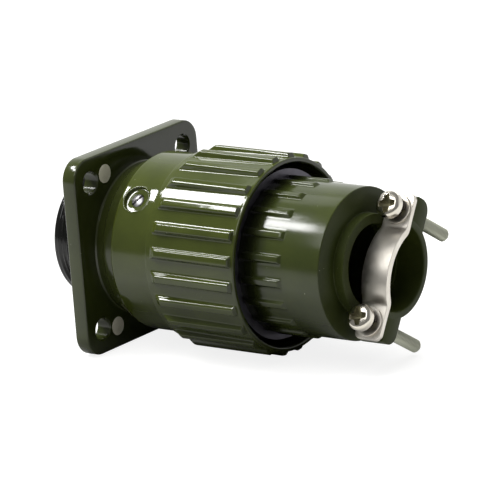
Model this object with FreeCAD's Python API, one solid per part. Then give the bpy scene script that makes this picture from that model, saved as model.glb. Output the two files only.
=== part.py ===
# Aviation plug connector, mated: a square-flange receptacle and a cable plug
# held on it by a ribbed coupling nut, with a two-screw cable clamp behind.
# Millimetres. The origin is the centre of the flange's mounting face, +X runs
# along the axis to the cable end, and +Z is up, square to the flange's edges.
import FreeCAD, Part
import math
import os

V = FreeCAD.Vector
AXIS = V(1, 0, 0)
ORIGIN = V(0, 0, 0)

# Fits between pieces
seat_gap = 0.05            # between pieces that are fixed together
running_gap = 0.06         # round what slides or turns
face_gap = 0.3             # between faces of pieces that move apart

# Flange
flange_side = 60.0
flange_thickness = 4.7
flange_corner_radius = 6.5
flange_edge_radius = 0.5
mount_hole_from_side = 7.5 # from the flange's sides to a hole's centre
mount_hole_diameter = 6.6
mount_hole_chamfer = 0.4
blind_pin_diameter = 5.8
blind_pin_depth = 3.0
blind_pin_from_hole = 7.0  # sideways, from the hole's centre to the pin's
blind_pin_outward = 1.0    # how far the pin lies beyond the row of holes

# Receptacle barrels
rear_barrel_step = 5.0     # in from the coupling thread
rear_barrel_length = 14.4
rear_barrel_wall = 2.4
barrel_length = 22.3       # in front of the flange
barrel_wall = 3.0          # under the coupling thread
thread_relief_depth = 1.1
thread_relief_length = 2.8
barrel_end_chamfer = 0.8
socket_floor_depth = 1.2   # below the flange's front face
web_thickness = 2.0
web_height = 1.2           # the web's reach into the bore

# Contacts and the inserts that hold them
contact_from_wall = 8.0    # from the ring of contacts to the nose's bore
outer_contacts = 6
pin_diameter = 4.0
pin_reach = 12.3           # beyond the flange's front face
pin_shoulder_diameter = 5.8
shoulder_length = 1.5
tail_diameter = 5.0
cup_diameter = 3.8
cup_depth = 6.0
tail_reach = 4.4           # out of the insert's rear face
socket_outer_diameter = 5.8
socket_shoulder_diameter = 6.6
socket_inset = 0.7         # behind the plug insert's front face
insert_front_thickness = 5.0
insert_rear_thickness = 5.5
plug_insert_front_thickness = 10.8
plug_insert_rear_thickness = 9.0
snap_ring_thickness = 1.4
snap_ring_width = 2.7
snap_groove_depth = 0.75
snap_ring_opening = 8.0
seal_thickness = 1.3
seal_width = 3.8

# Plug shell
nose_wall = 2.8
nose_lip_thickness = 1.05
nose_lip_width = 1.6
neck_step = 1.15           # in from the coupling thread
neck_length = 6.9
plug_body_clearance = 2.0  # inside the nut's rear bore
plug_body_length = 22.7
spigot_socket_wall = 3.2   # of the plug's body, round the backshell's spigot
insert_bore_end = 3.0      # plain bore left behind the snap ring
stop_ring_thickness = 1.4
stop_ring_width = 1.8
stop_groove_depth = 0.95
stop_groove_inset = 1.2    # from the neck's front face

# Coupling nut
nut_past_flange = 0.05     # how far the ribs' tips stand past the flange's sides
shoulder_step = 1.45       # from the collar up to the valleys
collar_wall = 2.65         # over the coupling thread
collar_length = 14.1
collar_edge_radius = 0.9
nut_length = 46.6
nut_front_gap = 8.3        # from the flange's front face to the nut
valley_taper = 0.6         # the valleys' rise from the shoulder to the rear
rib_height = 1.35          # over the valleys at the rear
rib_count = 24
rib_phase_degrees = 154.8
rib_tip_width = 2.3
rib_root_width = 3.6
rib_root_start = 1.9       # behind the shoulder
rib_ramp_length = 2.5
rib_end_inset = 1.5        # from the nut's rear end
rib_end_slope = 0.4
nut_rear_wall = 0.9        # under the front of the valleys
nut_rim_chamfer = 0.4
nut_lip_length = 3.7
lock_screw_diameter = 4.0
lock_screw_length = 1.7
lock_screw_from_front = 6.0
lock_screw_angle_degrees = 137.1
lock_recess_diameter = 8.2
lock_recess_depth = 1.0
lock_screw_proud = 0.4

# Backshell
backshell_step = 2.6       # in from the plug's body
backshell_length = 28.5
backshell_end_wall = 2.7
backshell_edge_radius = 1.2
spigot_length = 12.0
spigot_wall = 2.0
grip_rib_count = 20
grip_rib_phase_degrees = 165.7
grip_rib_height = 0.8
grip_rib_tip_width = 2.0
grip_rib_root_width = 2.8
grip_rib_start = 0.4
grip_rib_end = 14.6
neck_tube_step = 7.6       # in from the backshell
neck_tube_wall = 3.0
neck_tube_length = 3.2

# Cable clamp
clamp_roll_degrees = 31.8  # the clamp's turn about the axis
trough_wall = 2.2
trough_length = 9.2
lug_inset = 0.7            # inside the backshell's width
lug_face = 0.8             # from the axis to the lugs' clamping face
lug_thickness = 7.0
lug_corner_radius = 3.8
clamp_screw_from_lug = 4.9 # from the lug's outer end
clamp_screw_from_end = 4.9
saddle_thickness = 1.6
saddle_overhang = 0.3      # past the lugs' outer ends
saddle_rise = 4.0
saddle_bend_clearance = 0.43  # from the washer to the start of the bend
saddle_bend_radius = 3.2
saddle_corner_radius = 2.0
saddle_side_gap = 0.3
clamp_screw_diameter = 4.0
clamp_screw_length = 30.0
clamp_screw_tip_chamfer = 0.6
head_diameter = 8.0
head_height = 2.9
head_crown_radius = 1.3
clamp_hole_clearance = 0.3
flat_washer_diameter = 9.0
flat_washer_thickness = 0.8
spring_washer_wire = 1.1
spring_washer_free_height = 2.65
spring_washer_split_degrees = 16.0

# Diameters and widths, each worked out from one outside it, from the flange's side inwards
mount_hole_pitch = flange_side - 2 * mount_hole_from_side
rib_tip_diameter = flange_side + 2 * nut_past_flange
valley_diameter_rear = rib_tip_diameter - 2 * rib_height
valley_diameter_front = valley_diameter_rear - 2 * valley_taper
collar_diameter = valley_diameter_front - 2 * shoulder_step
coupling_thread_diameter = collar_diameter - 2 * collar_wall
thread_relief_diameter = coupling_thread_diameter - 2 * thread_relief_depth
rear_barrel_diameter = coupling_thread_diameter - 2 * rear_barrel_step
rear_bore_diameter = rear_barrel_diameter - 2 * rear_barrel_wall
web_bore_diameter = rear_bore_diameter - 2 * web_height
nose_diameter = coupling_thread_diameter - 2 * barrel_wall
nose_bore_diameter = nose_diameter - 2 * nose_wall
contact_circle_radius = nose_bore_diameter / 2 - contact_from_wall
neck_diameter = coupling_thread_diameter - 2 * neck_step
nut_rear_bore_diameter = valley_diameter_front - 2 * nut_rear_wall
plug_body_diameter = nut_rear_bore_diameter - 2 * plug_body_clearance
spigot_diameter = plug_body_diameter - 2 * spigot_socket_wall
wiring_bore_diameter = spigot_diameter - 2 * spigot_wall
backshell_diameter = plug_body_diameter - 2 * backshell_step
grip_rib_tip_diameter = backshell_diameter + 2 * grip_rib_height
neck_tube_diameter = backshell_diameter - 2 * neck_tube_step
neck_tube_bore_diameter = neck_tube_diameter - 2 * neck_tube_wall
trough_bore_diameter = neck_tube_diameter - 2 * trough_wall
lug_span = backshell_diameter - 2 * lug_inset
clamp_screw_spacing = lug_span - 2 * clamp_screw_from_lug
saddle_span = lug_span + 2 * saddle_overhang

# The saddle's crown and bends meet where its sides come down to the washers
saddle_bend_z = clamp_screw_spacing / 2 - flat_washer_diameter / 2 - saddle_bend_clearance
saddle_reach = (saddle_bend_z ** 2 + saddle_rise ** 2) / (2 * saddle_rise)
saddle_crown_radius = saddle_reach - saddle_bend_radius

# Stations along the axis, worked out from the sizes above
flange_front = flange_thickness
socket_floor = flange_front - socket_floor_depth
web_rear = socket_floor - web_thickness
rear_end = -rear_barrel_length
barrel_end = flange_front + barrel_length
insert_split = web_rear - seat_gap - insert_front_thickness
insert_rear = insert_split - insert_rear_thickness
nose_front = socket_floor + seal_thickness + face_gap
plug_insert_front = nose_front + nose_lip_thickness + seat_gap
plug_insert_split = plug_insert_front + plug_insert_front_thickness
plug_insert_rear = plug_insert_split + plug_insert_rear_thickness
neck_front = barrel_end + face_gap + 0.1
neck_rear = neck_front + neck_length
plug_rear = neck_rear + plug_body_length
nut_front = flange_front + nut_front_gap
nut_shoulder = nut_front + collar_length
nut_rear = nut_front + nut_length
nut_lip_rear = neck_rear - face_gap
nut_lip_front = nut_lip_rear - nut_lip_length
spigot_front = plug_rear - spigot_length
backshell_rear = plug_rear + backshell_length
neck_tube_end = backshell_rear + neck_tube_length
trough_end = neck_tube_end + trough_length
clamp_screw_x = trough_end - clamp_screw_from_end

# Levels along the clamp screws, in the clamp's own frame
saddle_top = lug_face - seat_gap - saddle_thickness
flat_washer_top = saddle_top - flat_washer_thickness
head_underside = flat_washer_top - 2 * seat_gap - spring_washer_free_height
washer_hole = clamp_screw_diameter + 2 * clamp_hole_clearance


def turned(outline):
    """Solid of revolution about the axis, from (x, radius) corners."""
    corners = [V(x, 0, r) for x, r in outline]
    face = Part.Face(Part.makePolygon(corners + corners[:1]))
    return face.revolve(ORIGIN, AXIS, 360)


def rod(x_from, x_to, diameter, y=0.0, z=0.0):
    """Cylinder along the axis."""
    return Part.makeCylinder(diameter / 2, x_to - x_from, V(x_from, y, z), AXIS)


def tube(x_from, x_to, outer, inner):
    return rod(x_from, x_to, outer).cut(rod(x_from, x_to, inner))


def about_axis(shape, degrees):
    """Copy turned about the connector's axis, from +Y towards +Z."""
    copy = shape.copy()
    copy.rotate(ORIGIN, AXIS, degrees)
    return copy


def round_edges(shape, radius, x, edge_radius):
    """Fillet the circular edge of the given radius in the plane at x."""
    chosen = []
    for edge in shape.Edges:
        curve = edge.Curve
        if isinstance(curve, Part.Circle) and abs(curve.Radius - edge_radius) < 1e-4:
            if abs(curve.Center.x - x) < 1e-4:
                chosen.append(edge)
    return shape.makeFillet(radius, chosen)


def contact_places():
    """Centre contact and one ring of contacts, as (y, z)."""
    places = [(0.0, 0.0)]
    for i in range(outer_contacts):
        angle = 2 * math.pi * i / outer_contacts
        places.append((contact_circle_radius * math.cos(angle), contact_circle_radius * math.sin(angle)))
    return places


def snap_ring(x_from, groove_diameter):
    """Split ring that fills a groove round a bore."""
    outer = groove_diameter - 2 * seat_gap
    ring = tube(x_from, x_from + snap_ring_thickness, outer, outer - 2 * snap_ring_width)
    opening = Part.makeBox(snap_ring_thickness, snap_ring_opening, outer, V(x_from, -snap_ring_opening / 2, 0))
    return ring.cut(opening)


def ring_groove(x_from, bore_diameter):
    groove_diameter = bore_diameter + 2 * snap_groove_depth
    return rod(x_from, x_from + snap_ring_thickness, groove_diameter)


def blind_pin_places():
    """The two bare pins beside the holes on the flange's -Y side, as (y, z)."""
    y = -mount_hole_pitch / 2 + blind_pin_from_hole
    z = mount_hole_pitch / 2 + blind_pin_outward
    return [(y, z), (y, -z)]


def make_receptacle_shell():
    half = flange_side / 2
    plate = Part.makeBox(flange_thickness, flange_side, flange_side, V(0, -half, -half))
    corners = [e for e in plate.Edges if abs(e.BoundBox.XLength - flange_thickness) < 1e-6]
    plate = plate.makeFillet(flange_corner_radius, corners)
    outline = [e for e in plate.Edges if e.BoundBox.XLength < 1e-6]
    plate = plate.makeFillet(flange_edge_radius, outline)

    thread = coupling_thread_diameter / 2
    relief = thread_relief_diameter / 2
    relief_end = flange_front + thread_relief_length
    outside = turned([
        (rear_end, 0), (rear_end, rear_barrel_diameter / 2 - barrel_end_chamfer),
        (rear_end + barrel_end_chamfer, rear_barrel_diameter / 2), (web_rear, rear_barrel_diameter / 2),
        (web_rear, relief), (relief_end, relief),
        (relief_end + thread - relief, thread), (barrel_end - barrel_end_chamfer, thread),
        (barrel_end, thread - barrel_end_chamfer), (barrel_end, 0)])
    shell = plate.fuse(outside)

    shell = shell.cut(rod(rear_end, web_rear, rear_bore_diameter))
    shell = shell.cut(rod(web_rear, socket_floor, web_bore_diameter))
    shell = shell.cut(rod(socket_floor, barrel_end, nose_diameter + 2 * running_gap))
    shell = shell.cut(ring_groove(insert_rear - snap_ring_thickness, rear_bore_diameter))

    for y_side in (-1, 1):
        for z_side in (-1, 1):
            y = y_side * mount_hole_pitch / 2
            z = z_side * mount_hole_pitch / 2
            shell = shell.cut(rod(0, flange_front, mount_hole_diameter, y, z))
            mouth = Part.makeCone(
                mount_hole_diameter / 2, mount_hole_diameter / 2 + mount_hole_chamfer,
                mount_hole_chamfer, V(flange_front - mount_hole_chamfer, y, z), AXIS)
            shell = shell.cut(mouth)
    for y, z in blind_pin_places():
        pocket_from = flange_front - blind_pin_depth
        shell = shell.cut(rod(pocket_from, flange_front, blind_pin_diameter, y, z))
    return shell


def make_blind_pins():
    """Bare pins pressed flush into the flange's front face."""
    pins = []
    for y, z in blind_pin_places():
        pin_from = flange_front - blind_pin_depth + seat_gap
        pins.append(rod(pin_from, flange_front, blind_pin_diameter - 2 * seat_gap, y, z))
    return Part.makeCompound(pins)


def make_receptacle_insert_front():
    """Insulator against the web, with a nose through it."""
    body = rod(insert_split, web_rear - seat_gap, rear_bore_diameter - 2 * seat_gap)
    nose = rod(insert_split, socket_floor, web_bore_diameter - 2 * seat_gap)
    insert = body.fuse(nose)
    for y, z in contact_places():
        insert = insert.cut(rod(insert_split, socket_floor, pin_diameter + 2 * seat_gap, y, z))
    return insert.removeSplitter()


def make_receptacle_insert_rear():
    insert = rod(insert_rear, insert_split, rear_bore_diameter - 2 * seat_gap)
    for y, z in contact_places():
        insert = insert.cut(rod(insert_rear, insert_split, tail_diameter + 2 * seat_gap, y, z))
        pocket = rod(insert_split - shoulder_length, insert_split, pin_shoulder_diameter + 2 * seat_gap, y, z)
        insert = insert.cut(pocket)
    return insert


def make_pin_contacts():
    """Seven plated pins with solder cups behind."""
    tip = flange_front + pin_reach
    tail_end = insert_rear - tail_reach
    shoulder_from = insert_split - shoulder_length + seat_gap
    pins = []
    for y, z in contact_places():
        pin = rod(insert_split, tip - pin_diameter / 4, pin_diameter, y, z)
        point = Part.makeCone(
            pin_diameter / 2, pin_diameter / 4, pin_diameter / 4, V(tip - pin_diameter / 4, y, z), AXIS)
        shoulder = rod(shoulder_from, insert_split - seat_gap, pin_shoulder_diameter, y, z)
        stem = rod(insert_split - shoulder_length, insert_split, pin_diameter, y, z)
        tail = rod(tail_end, shoulder_from, tail_diameter, y, z)
        cup = rod(tail_end, tail_end + cup_depth, cup_diameter, y, z)
        pins.append(pin.fuse([point, shoulder, stem, tail]).cut(cup).removeSplitter())
    return Part.makeCompound(pins)


def make_shell_seal():
    """Rubber ring on the socket's floor, under the plug's nose."""
    outer = nose_diameter - 2 * seat_gap
    return tube(socket_floor, socket_floor + seal_thickness, outer, outer - 2 * seal_width)


def make_plug_shell():
    nose = nose_diameter / 2
    neck = neck_diameter / 2
    body = plug_body_diameter / 2
    shell = turned([
        (nose_front, 0), (nose_front, nose - barrel_end_chamfer), (nose_front + barrel_end_chamfer, nose),
        (neck_front, nose), (neck_front, neck), (neck_rear, neck), (neck_rear, body),
        (plug_rear, body), (plug_rear, 0)])
    lip = nose_bore_diameter - 2 * nose_lip_width
    bore_end = plug_insert_rear + snap_ring_thickness + insert_bore_end
    spigot_bore = spigot_diameter + 2 * seat_gap
    shell = shell.cut(rod(nose_front, plug_insert_front, lip))
    shell = shell.cut(rod(plug_insert_front - seat_gap, bore_end, nose_bore_diameter))
    shell = shell.cut(rod(bore_end, plug_rear, wiring_bore_diameter))
    shell = shell.cut(rod(spigot_front - seat_gap, plug_rear, spigot_bore))
    shell = shell.cut(ring_groove(plug_insert_rear, nose_bore_diameter))
    groove_from = neck_front + stop_groove_inset
    groove_bottom = neck_diameter - 2 * stop_groove_depth
    shell = shell.cut(tube(groove_from, groove_from + stop_ring_thickness, neck_diameter + 1, groove_bottom))
    return shell


def make_plug_insert_front():
    insert = rod(plug_insert_front, plug_insert_split, nose_bore_diameter - 2 * seat_gap)
    for y, z in contact_places():
        entry = rod(plug_insert_front, plug_insert_split, pin_diameter + 2 * face_gap, y, z)
        bore = rod(plug_insert_front + socket_inset, plug_insert_split, socket_outer_diameter + 2 * seat_gap, y, z)
        insert = insert.cut(entry.fuse(bore))
    return insert


def make_plug_insert_rear():
    insert = rod(plug_insert_split, plug_insert_rear, nose_bore_diameter - 2 * seat_gap)
    for y, z in contact_places():
        bore = rod(plug_insert_split, plug_insert_rear, tail_diameter + 2 * seat_gap, y, z)
        pocket_end = plug_insert_split + shoulder_length
        pocket = rod(plug_insert_split, pocket_end, socket_shoulder_diameter + 2 * seat_gap, y, z)
        insert = insert.cut(bore.fuse(pocket))
    return insert


def make_socket_contacts():
    """Seven sockets over the pins, with solder cups behind."""
    front = plug_insert_front + socket_inset + seat_gap
    bore_end = flange_front + pin_reach + 1
    tail_end = plug_insert_rear + tail_reach
    shoulder_end = plug_insert_split + shoulder_length - seat_gap
    sockets = []
    for y, z in contact_places():
        sleeve = rod(front, plug_insert_split + seat_gap, socket_outer_diameter, y, z)
        shoulder = rod(plug_insert_split + seat_gap, shoulder_end, socket_shoulder_diameter, y, z)
        tail = rod(shoulder_end, tail_end, tail_diameter, y, z)
        bore = rod(front, bore_end, pin_diameter + 2 * running_gap, y, z)
        cup = rod(tail_end - cup_depth, tail_end, cup_diameter, y, z)
        sockets.append(sleeve.fuse([shoulder, tail]).cut(bore.fuse(cup)))
    return Part.makeCompound(sockets)


def make_stop_ring():
    """Split ring on the plug's neck that the coupling nut pushes against."""
    x_from = neck_front + stop_groove_inset
    inner = neck_diameter - 2 * stop_groove_depth + 2 * seat_gap
    ring = tube(x_from, x_from + stop_ring_thickness, inner + 2 * stop_ring_width, inner)
    opening = Part.makeBox(
        stop_ring_thickness, snap_ring_opening / 2, neck_diameter, V(x_from, -snap_ring_opening / 4, 0))
    return ring.cut(opening)


def raised_rib(x_root, x_tip, root_radius, tip_radius, root_width, tip_width):
    """Straight rib with sloping sides and ends, on the +Y side of a barrel."""
    return Part.makeWedge(
        x_root[0], root_radius, -root_width / 2, -tip_width / 2, x_tip[0],
        x_root[1], tip_radius, root_width / 2, tip_width / 2, x_tip[1])


def radial_rod(x, degrees, r_from, r_to, diameter):
    """Cylinder square to the axis, turned from +Y towards +Z."""
    return about_axis(Part.makeCylinder(diameter / 2, r_to - r_from, V(x, r_from, 0), V(0, 1, 0)), degrees)


def make_coupling_nut():
    collar = collar_diameter / 2
    valley_front = valley_diameter_front / 2
    valley_rear = valley_diameter_rear / 2
    nut = turned([
        (nut_front, 0), (nut_front, collar), (nut_shoulder, collar), (nut_shoulder, valley_front),
        (nut_rear, valley_rear), (nut_rear, 0)])
    nut = round_edges(nut, collar_edge_radius, nut_front, collar)

    root_start = nut_shoulder + rib_root_start
    root_end = nut_rear - rib_end_inset + rib_end_slope
    tip_end = nut_rear - rib_end_inset
    sink = 0.6
    ramp = rib_ramp_length * (1 + sink / (rib_tip_diameter / 2 - valley_front))
    tip_start = root_start + rib_ramp_length
    flank = (rib_root_width - rib_tip_width) * (1 + sink / (rib_tip_diameter / 2 - valley_front))
    rib = raised_rib(
        (tip_start - ramp, root_end), (tip_start, tip_end), valley_front - sink, rib_tip_diameter / 2,
        rib_tip_width + flank, rib_tip_width)
    ribs = []
    for i in range(rib_count):
        ribs.append(about_axis(rib, rib_phase_degrees + 360 * i / rib_count))
    nut = nut.fuse(ribs)

    thread_bore = coupling_thread_diameter + 2 * running_gap
    rear_bore = nut_rear_bore_diameter / 2
    hollow = turned([
        (nut_front, 0), (nut_front, thread_bore / 2), (nut_lip_front, thread_bore / 2),
        (nut_lip_front, neck_diameter / 2 + running_gap), (nut_lip_rear, neck_diameter / 2 + running_gap),
        (nut_lip_rear, rear_bore), (nut_rear - nut_rim_chamfer, rear_bore),
        (nut_rear, rear_bore + nut_rim_chamfer), (nut_rear, 0)])
    nut = nut.cut(hollow)

    x = nut_front + lock_screw_from_front
    recess = radial_rod(x, lock_screw_angle_degrees, collar - lock_recess_depth, collar + 2, lock_recess_diameter)
    hole = radial_rod(x, lock_screw_angle_degrees, thread_bore / 2 - 2, collar + 2, lock_screw_diameter + 2 * seat_gap)
    return nut.cut([recess, hole])


def make_lock_screw():
    """Short screw in the collar that locks the nut on the thread."""
    x = nut_front + lock_screw_from_front
    top = collar_diameter / 2 - lock_recess_depth + lock_screw_proud
    return radial_rod(x, lock_screw_angle_degrees, top - lock_screw_length, top, lock_screw_diameter)


def clamp_frame(shape):
    """From the clamp's own frame, +Y through the lugs, to the connector's."""
    return about_axis(shape, -clamp_roll_degrees)


def clamp_screw_offsets():
    return {"upper": clamp_screw_spacing / 2, "lower": -clamp_screw_spacing / 2}


def clamp_rod(z, y_from, y_to, diameter):
    """Cylinder along a clamp screw, in the clamp's own frame."""
    return Part.makeCylinder(diameter / 2, y_to - y_from, V(clamp_screw_x, y_from, z), V(0, 1, 0))


def make_trough():
    """Half-round trough with two lugs, in the clamp's own frame."""
    far_face = lug_face + lug_thickness
    lugs = Part.makeBox(trough_length, lug_thickness, lug_span, V(neck_tube_end, lug_face, -lug_span / 2))
    far_corners = []
    for edge in lugs.Edges:
        box = edge.BoundBox
        if box.YLength < 1e-6 and box.ZLength < 1e-6 and abs(box.YMin - far_face) < 1e-6:
            far_corners.append(edge)
    lugs = lugs.makeFillet(lug_corner_radius, far_corners)
    wall = rod(neck_tube_end, trough_end, neck_tube_diameter)
    near_half = Part.makeBox(
        trough_length, neck_tube_diameter, neck_tube_diameter,
        V(neck_tube_end, lug_face - neck_tube_diameter, -neck_tube_diameter / 2))
    trough = wall.cut(near_half).fuse(lugs)
    trough = trough.cut(rod(neck_tube_end, trough_end, trough_bore_diameter))
    for z in clamp_screw_offsets().values():
        trough = trough.cut(clamp_rod(z, lug_face, far_face, clamp_screw_diameter + 2 * running_gap))
    return trough


def make_backshell():
    outer = backshell_diameter / 2
    shell = turned([
        (spigot_front, 0), (spigot_front, spigot_diameter / 2), (plug_rear, spigot_diameter / 2),
        (plug_rear, outer), (backshell_rear, outer), (backshell_rear, 0)])
    shell = round_edges(shell, backshell_edge_radius, backshell_rear, outer)
    sink = 0.4
    rib = raised_rib(
        (plug_rear + grip_rib_start, plug_rear + grip_rib_end + rib_end_slope),
        (plug_rear + grip_rib_start, plug_rear + grip_rib_end),
        outer - sink, grip_rib_tip_diameter / 2, grip_rib_root_width, grip_rib_tip_width)
    ribs = []
    for i in range(grip_rib_count):
        ribs.append(about_axis(rib, grip_rib_phase_degrees + 360 * i / grip_rib_count))
    neck = rod(backshell_rear - backshell_end_wall, neck_tube_end, neck_tube_diameter)
    shell = shell.fuse(ribs + [neck, clamp_frame(make_trough())])
    cavity = rod(spigot_front, backshell_rear - backshell_end_wall, wiring_bore_diameter)
    cable_bore = rod(backshell_rear - backshell_end_wall, neck_tube_end, neck_tube_bore_diameter)
    return shell.cut([cavity, cable_bore])


def saddle_side(offset):
    """Edges of the saddle's outline on one side of its middle line, at an offset from it."""
    crown = saddle_crown_radius - offset
    bend = saddle_bend_radius + offset
    bend_z = saddle_bend_z
    turn = math.asin(bend_z / saddle_reach)
    crown_centre_y = saddle_crown_radius - saddle_rise

    def crown_point(angle):
        return V(0, crown_centre_y - crown * math.cos(angle), crown * math.sin(angle))

    def bend_point(side, angle):
        return V(0, -saddle_bend_radius + bend * math.cos(angle), side * (bend_z - bend * math.sin(angle)))

    return [
        Part.LineSegment(V(0, offset, saddle_span / 2), V(0, offset, bend_z)).toShape(),
        Part.Arc(bend_point(1, 0), bend_point(1, turn / 2), bend_point(1, turn)).toShape(),
        Part.Arc(crown_point(turn), crown_point(0), crown_point(-turn)).toShape(),
        Part.Arc(bend_point(-1, turn), bend_point(-1, turn / 2), bend_point(-1, 0)).toShape(),
        Part.LineSegment(V(0, offset, -bend_z), V(0, offset, -saddle_span / 2)).toShape()]


def make_saddle():
    """Stamped strap over the cable, in the clamp's own frame."""
    half = saddle_thickness / 2
    ends = []
    for z in (saddle_span / 2, -saddle_span / 2):
        ends.append(Part.LineSegment(V(0, -half, z), V(0, half, z)).toShape())
    edges = Part.sortEdges(saddle_side(-half) + saddle_side(half) + ends)[0]
    width = trough_length - saddle_side_gap
    saddle = Part.Face(Part.Wire(edges)).extrude(V(width, 0, 0))
    saddle.translate(V(neck_tube_end + saddle_side_gap, lug_face - half - seat_gap, 0))
    tab_corners = []
    for edge in saddle.Edges:
        box = edge.BoundBox
        if box.XLength < 1e-6 and box.ZLength < 1e-6 and abs(abs(box.ZMin) - saddle_span / 2) < 1e-6:
            tab_corners.append(edge)
    saddle = saddle.makeFillet(saddle_corner_radius, tab_corners)
    for z in clamp_screw_offsets().values():
        saddle = saddle.cut(clamp_rod(z, saddle_top, lug_face, washer_hole))
    return saddle


def make_flat_washer(z):
    bore = clamp_rod(z, flat_washer_top, saddle_top, washer_hole)
    return clamp_rod(z, flat_washer_top, saddle_top, flat_washer_diameter).cut(bore)


def make_spring_washer(z):
    """Split spring washer: one open turn of square wire."""
    inner = washer_hole / 2
    outer = inner + spring_washer_wire
    half = spring_washer_wire / 2
    rise = spring_washer_free_height - spring_washer_wire
    turns = 1 - spring_washer_split_degrees / 360
    path = Part.makeHelix(rise / turns, rise, inner + half)
    corners = [V(inner, 0, -half), V(outer, 0, -half), V(outer, 0, half), V(inner, 0, half)]
    section = Part.makePolygon(corners + corners[:1])
    washer = Part.Wire(path.Edges).makePipeShell([section], True, True)
    washer.rotate(ORIGIN, V(1, 0, 0), 90)
    washer.translate(V(clamp_screw_x, flat_washer_top - seat_gap - half, z))
    return washer


def make_clamp_screw(z):
    """Pan-head screw: a crowned head and a plain shank of the thread's size."""
    head_top = head_underside - head_height
    head = clamp_rod(z, head_top, head_underside, head_diameter)
    crown = [e for e in head.Edges if e.BoundBox.YLength < 1e-6 and abs(e.BoundBox.YMin - head_top) < 1e-6]
    head = head.makeFillet(head_crown_radius, crown)
    tip = head_underside + clamp_screw_length
    shank = clamp_rod(z, head_underside, tip - clamp_screw_tip_chamfer, clamp_screw_diameter)
    end = Part.makeCone(
        clamp_screw_diameter / 2, clamp_screw_diameter / 2 - clamp_screw_tip_chamfer, clamp_screw_tip_chamfer,
        V(clamp_screw_x, tip - clamp_screw_tip_chamfer, z), V(0, 1, 0))
    return head.fuse([shank, end]).removeSplitter()


nodes = {
    "receptacle_shell": make_receptacle_shell(),
    "flange_blind_pins": make_blind_pins(),
    "receptacle_insert_front": make_receptacle_insert_front(),
    "receptacle_insert_rear": make_receptacle_insert_rear(),
    "receptacle_snap_ring": snap_ring(
        insert_rear - snap_ring_thickness, rear_bore_diameter + 2 * snap_groove_depth),
    "pin_contacts": make_pin_contacts(),
    "shell_seal": make_shell_seal(),
    "plug_shell": make_plug_shell(),
    "plug_insert_front": make_plug_insert_front(),
    "plug_insert_rear": make_plug_insert_rear(),
    "plug_snap_ring": snap_ring(plug_insert_rear, nose_bore_diameter + 2 * snap_groove_depth),
    "socket_contacts": make_socket_contacts(),
    "nut_stop_ring": make_stop_ring(),
    "coupling_nut": make_coupling_nut(),
    "nut_lock_screw": make_lock_screw(),
    "backshell": make_backshell(),
    "clamp_saddle": clamp_frame(make_saddle()),
}
for side, z in clamp_screw_offsets().items():
    nodes["flat_washer_" + side] = clamp_frame(make_flat_washer(z))
    nodes["spring_washer_" + side] = clamp_frame(make_spring_washer(z))
    nodes["clamp_screw_" + side] = clamp_frame(make_clamp_screw(z))

os.makedirs("parts", exist_ok=True)
for name, shape in nodes.items():
    shape.exportStep("parts/" + name + ".step")
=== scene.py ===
import math

import bmesh
import bpy
import numpy as np
from mathutils import Matrix


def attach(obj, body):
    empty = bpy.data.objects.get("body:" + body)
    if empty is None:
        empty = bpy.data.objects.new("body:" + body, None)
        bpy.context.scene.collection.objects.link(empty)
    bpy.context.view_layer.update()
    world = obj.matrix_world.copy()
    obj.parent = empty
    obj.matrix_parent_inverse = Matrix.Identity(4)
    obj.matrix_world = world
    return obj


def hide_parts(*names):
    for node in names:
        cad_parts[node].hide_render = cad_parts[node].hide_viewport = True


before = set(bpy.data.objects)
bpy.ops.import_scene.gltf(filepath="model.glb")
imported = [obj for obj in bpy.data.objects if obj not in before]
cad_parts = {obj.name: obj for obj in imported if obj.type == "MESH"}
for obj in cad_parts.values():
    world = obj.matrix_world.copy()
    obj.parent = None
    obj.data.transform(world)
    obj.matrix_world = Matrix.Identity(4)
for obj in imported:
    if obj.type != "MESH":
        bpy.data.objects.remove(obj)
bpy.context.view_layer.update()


# Camera
# A long lens looks down a little on the side of the connector, with the flange
# on the left and the cable clamp on the right.
view_azimuth = math.radians(-52.387)  # of the line to the camera, from +X towards +Y
view_elevation = math.radians(15.410)
view_roll = math.radians(-4.558)
view_distance = 1.4778  # from the middle of the flange's front face
lens_offset_right = 0.03193  # puts the flange left of the picture's middle
lens_offset_up = -0.00400
lens_length = 355.7  # in mm, behind a picture that is picture_width wide
picture_width = 36.0
flange_front_x = 0.0047

back = np.array([
    math.cos(view_elevation) * math.cos(view_azimuth),
    math.cos(view_elevation) * math.sin(view_azimuth),
    math.sin(view_elevation)])
level_right = np.array([-math.sin(view_azimuth), math.cos(view_azimuth), 0.0])
level_up = np.cross(back, level_right)
right = math.cos(view_roll) * level_right + math.sin(view_roll) * level_up
up = math.cos(view_roll) * level_up - math.sin(view_roll) * level_right
seat = np.array([flange_front_x, 0, 0]) + view_distance * back
seat += lens_offset_right * right + lens_offset_up * up


def new_object(name, data):
    """Object in the scene with the given data."""
    item = bpy.data.objects.new(name, data)
    bpy.context.collection.objects.link(item)
    return item


def stand(item, right, up, back, place):
    """Stands a camera or lamp at a place, with its own X, Y and Z along the three directions."""
    matrix = np.eye(4)
    matrix[:3] = np.stack([right, up, back, place], axis=1)
    item.matrix_world = Matrix(matrix.tolist())


camera = new_object("camera", bpy.data.cameras.new("camera"))
camera.data.sensor_width = picture_width
camera.data.lens = lens_length
camera.data.clip_end = 20.0
stand(camera, right, up, back, seat)
bpy.context.scene.camera = camera
bpy.context.scene.view_settings.view_transform = "Standard"


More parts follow.
